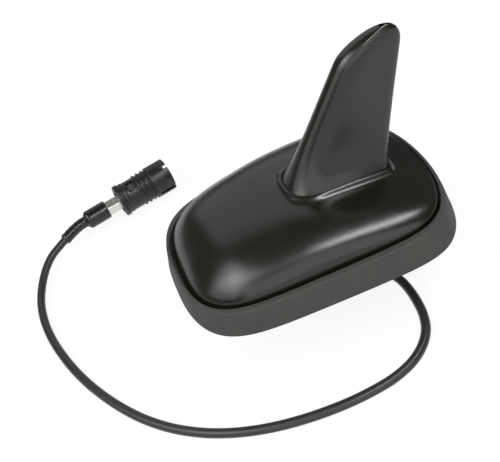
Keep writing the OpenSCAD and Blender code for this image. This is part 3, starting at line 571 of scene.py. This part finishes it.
# The formulas leave a tight line where the side meets the rolled top. Smoothing the part over this
# level rounds it, as the edges of a mould are rounded. It also rounds the top of the hollow inside.
smoothed_over = 48
bpy.ops.object.mode_set(mode="EDIT")
bpy.ops.mesh.select_all(action="DESELECT")
bpy.ops.object.mode_set(mode="OBJECT")
for vertex in fin_skin.data.vertices:
    vertex.select = vertex.co.z > smoothed_over * mm
bpy.ops.object.mode_set(mode="EDIT")
bpy.ops.mesh.vertices_smooth(factor=0.5, repeat=30)
bpy.ops.object.mode_set(mode="OBJECT")
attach(fin_skin, "root")
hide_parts("fin_shell")
print("fin skin has", len(fin_skin.data.polygons), "faces")

# %% [markdown]
# The rubber skirt
#
# The skirt seals the base to the roof. It is moulded in EPDM rubber: a leaning wall, a flat rim that
# stands round the cover with a narrow dark groove between them, and a web that the plate clamps.
# Its section has rounded corners here, because soft rubber never shows a knife edge.

# %% Skirt skin
def skirt_rings(turns):
    lean, groove, depth, gap = 2.6, 1.0, 3.2, 0.2
    clamped = cover_wall + 4.4 - gap  # the web reaches in under the cover's wall and the plate
    web_end, web_side = cover_inset_end + clamped, cover_inset_side + clamped
    rim_end, rim_side = cover_inset_end - groove, cover_inset_side - groove
    # Inset at the ends, inset at the sides, height, share of the rim's height
    section = [
        (web_end, web_side, 1.6, 0), (web_end, web_side, 3.4, 0),
        (cover_inset_end - gap, cover_inset_side - gap, 3.4, 0),
        (cover_inset_end - gap, cover_inset_side - gap, -depth, 1),
        # The groove's outer side and the rim's inner edge
        (rim_end, rim_side, -depth, 1), (rim_end, rim_side, -0.55, 1),
        (rim_end - 0.07, rim_side - 0.08, -0.26, 1), (rim_end - 0.2, rim_side - 0.22, -0.07, 1),
        (rim_end - 0.36, rim_side - 0.5, 0, 1),
        # The flat rim and its outer edge
        (lean + 0.75, lean + 0.9, 0, 1), (lean + 0.45, lean + 0.5, -0.05, 1),
        (lean + 0.2, lean + 0.22, -0.2, 1), (lean + 0.04, lean + 0.05, -0.45, 1), (lean - 0.06, lean - 0.06, -0.9, 1),
        # The leaning wall and the foot
        (lean * 0.78, lean * 0.78, 0, 0.8), (lean * 0.55, lean * 0.55, 0, 0.58),
        (lean * 0.34, lean * 0.34, 0, 0.38), (lean * 0.14, lean * 0.14, 0, 0.2),
        (0.04, 0.04, 1.2, 0), (0, 0, 0.8, 0), (0.1, 0.1, 0.35, 0), (0.3, 0.3, 0.1, 0),
        (0.6, 0.6, 0, 0), (3.2, 3.2, 0, 0), (3.7, 3.7, 1.6, 0),
    ]
    rim_nose, rim_tail = 12, 14
    rings = []
    for inset_end, inset_side, height, share in section:
        ring = []
        for t in turns:
            x, y = plan(t, inset_end, inset_side)
            rim = mixed(rim_nose, rim_tail, clipped((x + base_length / 2) / base_length, 0, 1))
            ring.append((x, y, height + share * rim))
        rings.append(ring)
    return rings


skirt_skin = wrap_grid("skirt_skin", [on_base(r) for r in skirt_rings(cover_turns)], loft_closes=True)
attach(skirt_skin, "root")
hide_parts("rubber_skirt")
print("skirt skin has", len(skirt_skin.data.polygons), "faces")

# %% [markdown]
# The threaded stud
#
# The solid's stud is plain. The real one has a metric thread for the nut below the roof. A thread is a
# ridge that climbs one pitch for each turn, so each ring's radius is worked out from its angle and
# height. The bore and the chamfer are the solid's. The head has its size too, but it is turned by
# half a side against the solid's, out of sight in the base.

# %% Stud
def stud_rings():
    pitch, depth, sides, thread_steps = 1.5, 0.55, 48, 93
    thread_radius, thread_foot, thread_length = 7, -19, 18.5
    angles = [2 * pi * i / sides for i in range(sides)]

    def round_ring(level, radius):
        return [(radius * cos(angle), radius * sin(angle), level) for angle in angles]

    def thread_ring(level):
        """A ring across the thread, which fades out at both ends."""
        fade = clipped((level + 19.6) / 1.5, 0, 1) * clipped((-0.9 - level) / 1.2, 0, 1)
        ring = []
        for angle in angles:
            phase = (level / pitch - angle / (2 * pi)) % 1
            r = thread_radius - depth * abs(2 * phase - 1) * fade
            ring.append((r * cos(angle), r * sin(angle), level))
        return ring

    def hexagon_ring(level, width):
        ring = []
        for angle in angles:
            r = width / 2 / cos(angle % (pi / 3) - pi / 6)
            ring.append((r * cos(angle), r * sin(angle), level))
        return ring

    # Level and radius, down the bore with its seat for the bush and round the chamfered end
    bore = [(9.6, 6.9), (5.6, 3.4), (-12, 3.4), (-12, 4.45), (-20, 4.45), (-20, 6), (-19.5, 6.5), (-19, 7)]
    rings = [round_ring(*place) for place in bore]
    for k in range(1, thread_steps):
        rings.append(thread_ring(thread_foot + thread_length * k / thread_steps))
    rings += [round_ring(*place) for place in ((-0.5, 7), (-0.5, 6), (6.6, 6))]
    rings += [hexagon_ring(*place) for place in ((6.6, 23), (9.2, 23), (9.6, 22.4))]
    return rings


stud = wrap_grid("stud", stud_rings(), loft_closes=True)
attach(stud, "root")
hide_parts("threaded_stud")
print("stud has", len(stud.data.polygons), "faces")

# %% [markdown]
# The shrunk sleeve
#
# A glossy sleeve is slipped over the lead and the rear half of the ferrule and shrunk with hot air. It
# follows what is under it, so it has one soft step and is a little uneven. It is a tube along the
# lead's own line, with its radius eased from the thin part to the thick one and small lips at its ends.

# %% Sleeve
def sleeve_rings():
    steps, sides = 8, 40
    thin_radius, thick_radius = 3.36, 5.66
    line = smooth_through([rise_route[-1]] + sleeve_route, steps)[steps:]
    total = line_length(line)
    outer, inner, travelled = [], [], 0.0
    last = line[0]
    for spot in line:
        travelled += (spot - last).length
        last = spot
        from_front = total - travelled
        step = clipped((15.6 - from_front) / 2.6, 0, 1)
        step = step * step * (3 - 2 * step)
        shrink = 0.12 * sin(from_front * 1.9) * (1 - step) * clipped(from_front / 20, 0, 1)
        lip = 0.25 * clipped(1 - travelled / 0.9, 0, 1) + 0.2 * clipped(1 - from_front / 0.8, 0, 1)
        outer.append(mixed(thin_radius, thick_radius, step) + shrink * 0.5 - lip)
        inner.append(mixed(2.4, 5.1, step))
    return tube_rings(line, outer, sides), tube_rings(line, inner, sides)


outer_rings, inner_rings = sleeve_rings()
shrink_sleeve = wrap_grid("shrink_sleeve", outer_rings + inner_rings[::-1], loft_closes=True)
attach(shrink_sleeve, "root")
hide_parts("heat_shrink_sleeve")
print("sleeve has", len(shrink_sleeve.data.polygons), "faces")

# %% [markdown]
# The ferrule
#
# The ferrule is bright plated brass that holds the lead's braid. It starts as a round tube, and the
# crimping tool presses its middle into a hexagon, so its ends stay a little round. Each ring's radius
# is mixed between the round tube's and the hexagon's, whose corners are left a little blunt.

# %% Ferrule
def at_plug(ring):
    """From the plug's own axis to its place in the frame."""
    turned = Matrix.Rotation(plug_turn, 3, "Z")
    return [tuple(turned @ Vector(p) + plug_spot) for p in ring]


def ferrule_rings():
    sides, flats, blunt_corner = 96, 8.8, 1.135
    wide_bore, narrow_bore = 3.36, 2.36
    rings = []

    def add(x, crimp, radius=None, trim=0.0):
        ring = []
        for i in range(sides):
            angle = 2 * pi * i / sides
            off = (angle + pi / 6) % (pi / 3) - pi / 6
            hexagon = min(flats / 2 / cos(off), flats / 2 * blunt_corner)
            r = radius if radius else mixed(flats / 2 * 1.06, hexagon, crimp) - trim
            ring.append((x, r * cos(angle), r * sin(angle)))
        rings.append(at_plug(ring))

    add(-21, 0, radius=narrow_bore)
    add(-21, 0.6, trim=0.2)
    add(-20.8, 0.6)
    for k in range(1, 12):
        x = -20.8 + 23.4 * k / 12
        add(x, clipped((2.6 - x) / 1.4, 0, 1) * clipped((x + 21.4) / 1.4, 0, 1))
    add(2.8, 0)
    add(3, 0, trim=0.2)
    add(3, 0, radius=wide_bore)
    add(-9.9, 0, radius=wide_bore)
    add(-10, 0, radius=narrow_bore)
    return rings


ferrule = wrap_grid("ferrule", ferrule_rings(), loft_closes=True)
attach(ferrule, "root")
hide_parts("crimp_ferrule")
print("ferrule has", len(ferrule.data.polygons), "faces")

# %% [markdown]
# The plug's housing
#
# The housing is one black moulding: a collar behind, a neck with windows for the retainer, three grip
# rings and a barrel with slots that let its mouth spring. The section is spun round the axis, the
# windows and slots are cut with blocks, and a small bevel breaks the edges that the cuts leave.

# %% Housing body
def housing_section():
    collar, barrel, neck, ring, wall, hole = 10.2, 10.2, 9.2, 10.0, 2.0, 7.0
    first_ring, ring_step, seat_radius = 13.3, 3.05, 4.45
    # The collar behind, with a fine groove round its middle, and the step down to the neck
    points = [
        (0.25, hole), (0.05, hole + 0.2), (0, hole + 0.5), (0, collar - 1.3), (0.12, collar - 0.8),
        (0.42, collar - 0.34), (0.85, collar - 0.08), (1.2, collar), (1.5, collar - 0.05),
        (1.72, collar - 0.4), (1.95, collar - 0.42), (2.15, collar - 0.12), (2.4, collar),
        (2.8, collar - 0.06), (3.15, collar - 0.3), (3.4, collar - 0.75), (3.4, 9.45), (3.7, 9.35),
        (4.4, 9.4), (5, 9.62), (5.4, 9.62), (5.75, 9.4), (6, neck),
    ]
    # Three grip rings
    for k in range(3):
        x = first_ring + ring_step * k
        points += [
            (x, neck), (x + 0.35, ring - 0.3), (x + 0.6, ring - 0.06), (x + 0.95, ring), (x + 1.3, ring - 0.06),
            (x + 1.6, ring - 0.3), (x + 2, neck),
        ]
    # The barrel, its mouth and the way back inside
    points += [
        (21.9, neck), (22.15, barrel - 0.3), (22.5, barrel - 0.04), (23, barrel), (28, barrel),
        (34.5, barrel), (34.85, barrel - 0.12), (35, barrel - 0.4), (35, barrel - wall + 0.25),
        (34.8, barrel - wall), (14.9, barrel - wall), (14.9, seat_radius), (12.9, seat_radius), (12.9, hole),
    ]
    return points


def spun(section, sides):
    """The section's points, each spun to a ring round the plug's axis."""
    angles = [2 * pi * i / sides for i in range(sides)]
    return [at_plug([(x, r * cos(angle), r * sin(angle)) for angle in angles]) for x, r in section]


def cut_blocks(piece, blocks):
    """Cuts boxes out of a plug piece. Each has a middle x, a middle radius, three sizes and a turn."""
    for x, radius, sizes, turn in blocks:
        bpy.ops.object.select_all(action="DESELECT")
        bpy.ops.mesh.primitive_cube_add(size=1)
        block = bpy.context.object
        place = Matrix.Translation(plug_spot * mm) @ Matrix.Rotation(plug_turn, 4, "Z")
        place = place @ Matrix.Rotation(radians(turn), 4, "X") @ Matrix.Translation(Vector((x, 0, radius)) * mm)
        block.data.transform(place @ Matrix.Diagonal(Vector(sizes + (1,))) @ Matrix.Scale(mm, 4))
        cut = piece.modifiers.new("window", "BOOLEAN")
        cut.operation = "DIFFERENCE"
        cut.solver = "EXACT"
        cut.object = block
        bpy.context.view_layer.objects.active = piece
        bpy.ops.object.modifier_apply(modifier=cut.name)
        bpy.data.objects.remove(block)


def soften_edges(piece, width):
    """A narrow bevel of this many mm on the sharp edges, applied."""
    bpy.ops.object.select_all(action="DESELECT")
    piece.select_set(True)
    bpy.context.view_layer.objects.active = piece
    bevel = piece.modifiers.new("broken edge", "BEVEL")
    bevel.width = width * mm
    bevel.segments = 2
    bevel.limit_method = "ANGLE"
    bevel.angle_limit = radians(40)
    bevel.use_clamp_overlap = True
    bpy.ops.object.modifier_apply(modifier=bevel.name)
    bpy.ops.object.shade_smooth_by_angle(angle=radians(38))


housing = wrap_grid("plug_shell", spun(housing_section(), 96), loft_closes=True)
first_turn = 24  # degrees round the axis, so that a window and a slot face the camera
slots = [(32.75, 10.2, (8.5, 2.9, 6), turn + first_turn) for turn in (0, 90, 180, 270)]
recesses = [(26.5, 10.2, (4.02, 2.9, 2.2), turn + first_turn) for turn in (0, 90, 180, 270)]
windows = [(10.2, 9.2, (5, 7.5, 6), turn + first_turn) for turn in (0, 180)]
cut_blocks(housing, slots + recesses + windows)
soften_edges(housing, 0.12)
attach(housing, "root")
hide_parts("plug_housing")
print("housing has", len(housing.data.polygons), "faces")

# %% [markdown]

# %% [markdown]
# Finishes
#
# Each finish starts from what the real part is made of and how its surface was made. A pattern's scale
# is the inverse of its grain in metres, because the noise reads the piece's own place in metres.

# %% Start a finish
def new_finish(name, colour, roughness, metallic=0.0):
    material = bpy.data.materials.new(name)
    material.use_nodes = True
    surface = material.node_tree.nodes["Principled BSDF"]
    surface.inputs["Base Color"].default_value = linear(colour)
    surface.inputs["Roughness"].default_value = roughness
    surface.inputs["Metallic"].default_value = metallic
    place = add_node(material.node_tree, "ShaderNodeTexCoord")
    return material, material.node_tree, surface, place.outputs["Object"]


def grain(millimetres):
    """The scale of a noise whose blobs are about this wide."""
    return 1 / (millimetres * mm)


def blobs(tree, place, millimetres, detail, roughness=0.5):
    """A pattern of blobs of this width, read from the piece's own place."""
    return add_node(
        tree, "ShaderNodeTexNoise", inputs={"Scale": grain(millimetres), "Detail": detail, "Roughness": roughness},
        links={"Vector": place},
    )


def press_in(tree, surface, pattern, strength, depth):
    """The pattern becomes pits of this depth in mm."""
    pits = add_node(
        tree, "ShaderNodeBump", inputs={"Strength": strength, "Distance": depth * mm},
        links={"Height": pattern.outputs["Fac"]},
    )
    tree.links.new(pits.outputs["Normal"], surface.inputs["Normal"])


def vary_gloss(tree, surface, pattern, low, high):
    """The pattern moves the roughness between two values."""
    gloss = add_node(
        tree, "ShaderNodeMapRange", inputs={"From Min": 0.3, "From Max": 0.7, "To Min": low, "To Max": high},
        links={"Value": pattern.outputs["Fac"]},
    )
    tree.links.new(gloss.outputs["Result"], surface.inputs["Roughness"])


def vary_tone(tree, surface, pattern, dark, pale):
    """The pattern moves the colour between two hex values."""
    tone = add_node(
        tree, "ShaderNodeMix", settings={"data_type": "RGBA"},
        inputs={6: linear(dark), 7: linear(pale)}, links={0: pattern.outputs["Fac"]},
    )
    tree.links.new(tone.outputs[2], surface.inputs["Base Color"])


def give(material, *pieces):
    """Gives a finish to pieces, or to nodes of the frame by name."""
    for piece in pieces:
        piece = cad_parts[piece] if isinstance(piece, str) else piece
        piece.data.materials.clear()
        piece.data.materials.append(material)
    print(material.name, "is on", len(pieces), "pieces")


# %% [markdown]
# Satin ABS
#
# The cover and fin are black ABS from a spark-eroded mould. Its grain is half a millimetre wide here, a
# little coarser than the real one, so that it can show at all. It breaks the gloss into a soft sheen.
# Handling and the flow of the plastic leave slow changes of gloss over some centimetres.

# %% Cover and fin finish
abs_plastic, tree, surface, place = new_finish("satin black ABS, spark-eroded mould", "12110d", 0.22)
surface.inputs["IOR"].default_value = 1.54
fine = blobs(tree, place, 0.45, 2.0, roughness=0.6)
vary_gloss(tree, surface, blobs(tree, place, 24, 3.0, roughness=0.55), 0.2, 0.27)
vary_tone(tree, surface, fine, "0f0e0a", "161510")
press_in(tree, surface, fine, 0.5, 0.04)
give(abs_plastic, cover_skin, fin_skin)

# %% [markdown]
# EPDM and nitrile rubber
#
# Rubber scatters more light than the plastic over it, so the skirt looks greyer and has no clear
# reflection. It is fully matt with a faint bloom, which shows as slow pale patches. The seal and the
# bush below are a softer, blacker nitrile rubber.

# %% Rubber finishes
epdm, tree, surface, place = new_finish("matt black EPDM rubber, moulded", "333230", 0.72)
vary_tone(tree, surface, blobs(tree, place, 9, 4.0), "2b2a28", "3a3936")
press_in(tree, surface, blobs(tree, place, 0.6, 3.0), 0.3, 0.05)
give(epdm, skirt_skin)

seal_rubber, tree, surface, place = new_finish("soft black nitrile rubber, cut sheet", "1c1c1b", 0.6)
press_in(tree, surface, blobs(tree, place, 0.5, 2.0), 0.3, 0.04)
give(seal_rubber, "roof_seal", "cable_grommet")

# %% [markdown]
# PVC jacket and shrunk sleeve
#
# The jacket is extruded PVC. The die leaves faint lines along it and the gloss is between satin and
# wet. The shrunk sleeve is polyolefin, glossier, with slight ripples from the hot air.

# %% Jacket and sleeve finishes
jacket, tree, surface, place = new_finish("black PVC jacket, extruded", "222222", 0.36)
lengthwise = add_node(tree, "ShaderNodeUVMap")
# Draw lines are a third of a millimetre apart round the lead and 60 mm long, coarse enough to show
stretch = add_node(
    tree, "ShaderNodeMapping", inputs={"Scale": (grain(0.35), grain(60), 1)},
    links={"Vector": lengthwise.outputs["UV"]},
)
lines = add_node(
    tree, "ShaderNodeTexNoise", inputs={"Scale": 1.0, "Detail": 1.0}, links={"Vector": stretch.outputs["Vector"]}
)
press_in(tree, surface, lines, 0.12, 0.03)
vary_gloss(tree, surface, blobs(tree, place, 14, 2.0), 0.3, 0.42)
give(jacket, free_lead, inner_lead)

shrunk, tree, surface, place = new_finish("black polyolefin sleeve, heat shrunk", "141414", 0.22)
press_in(tree, surface, blobs(tree, place, 2.4, 2.0), 0.4, 0.15)
give(shrunk, shrink_sleeve)

# %% [markdown]
# Plug finishes
#
# The housing is glass-filled nylon, which moulds to a dull satin. The ferrule and contacts are brass
# with bright nickel over it, whose gloss changes a little along the axis, as turning and crimping leave
# it. The pin has a thin gold plate against wear.

# %% Plug finishes
nylon, tree, surface, place = new_finish("black glass-filled nylon, moulded", "121212", 0.4)
fine = blobs(tree, place, 0.5, 3.0)
vary_gloss(tree, surface, fine, 0.32, 0.44)
press_in(tree, surface, fine, 0.25, 0.04)
give(nylon, housing)

acetal, tree, surface, place = new_finish("dark grey acetal, moulded", "3c3c3b", 0.38)
press_in(tree, surface, blobs(tree, place, 0.5, 2.0), 0.2, 0.04)
give(acetal, "plug_retainer")

nickel, tree, surface, place = new_finish("bright nickel over turned brass", "d6d4cf", 0.2, metallic=1.0)
along = add_node(
    tree, "ShaderNodeMapping", inputs={"Scale": (grain(1.3), grain(5), grain(5))}, links={"Vector": place}
)
turning = add_node(
    tree, "ShaderNodeTexNoise", inputs={"Scale": 1.0, "Detail": 1.0}, links={"Vector": along.outputs["Vector"]}
)
vary_gloss(tree, surface, turning, 0.24, 0.34)
press_in(tree, surface, turning, 0.08, 0.02)
give(nickel, ferrule, "plug_contact_tube")

gold, tree, surface, place = new_finish("thin gold over turned brass", "d9b25a", 0.24, metallic=1.0)
vary_tone(tree, surface, blobs(tree, place, 0.8, 2.0), "c79f4c", "e2bd68")
give(gold, "plug_pin")

ptfe, tree, surface, place = new_finish("white PTFE, turned", "e9e8e2", 0.45)
press_in(tree, surface, blobs(tree, place, 0.6, 2.0), 0.2, 0.04)
give(ptfe, "plug_insulator", "coil_former")

# %% [markdown]
# Metals under the cover and below
#
# The plate is a die casting of aluminium alloy with a faint orange-peel skin. The stud and screws are steel with
# pale zinc on them, and the shielding can, the clip and the clamp are tinned sheet.

# %% Metal finishes
cast_alloy, tree, surface, place = new_finish("aluminium alloy, die cast", "a9abad", 0.5, metallic=1.0)
vary_gloss(tree, surface, blobs(tree, place, 6, 5.0), 0.42, 0.6)
press_in(tree, surface, blobs(tree, place, 0.8, 3.0), 0.3, 0.06)
give(cast_alloy, "base_plate")

zinc, tree, surface, place = new_finish("steel, bright zinc plated", "c3c6c8", 0.3, metallic=1.0)
vary_gloss(tree, surface, blobs(tree, place, 3, 3.0), 0.24, 0.4)
give(zinc, stud, "cover_screws", "board_screws", "clamp_screw")

tinned, tree, surface, place = new_finish("tinned steel sheet, pressed", "cfcfca", 0.34, metallic=1.0)
vary_gloss(tree, surface, blobs(tree, place, 5, 2.0), 0.28, 0.44)
give(tinned, "shield_can", "contact_clip", "cable_clamp")

# %% [markdown]
# Board and wire
#
# The board is glass laminate under green solder mask, its parts are black epoxy, and the aerial's wire
# is enamelled copper. All are hidden by the cover, but a cut-away view would show them.

# %% Board finishes
mask, tree, surface, place = new_finish("glass epoxy laminate, green solder mask", "1d5a34", 0.35)
vary_tone(tree, surface, blobs(tree, place, 0.7, 1.0), "184f2d", "23683d")
give(mask, "circuit_board")

epoxy, tree, surface, place = new_finish("black epoxy, transfer moulded", "1a1a1b", 0.5)
press_in(tree, surface, blobs(tree, place, 0.3, 2.0), 0.3, 0.03)
give(epoxy, "board_chips")

copper, tree, surface, place = new_finish("enamelled copper wire, drawn", "b8693a", 0.26, metallic=1.0)
vary_tone(tree, surface, blobs(tree, place, 2, 2.0), "a85d33", "c77946")
give(copper, "antenna_coil", "core_tail")
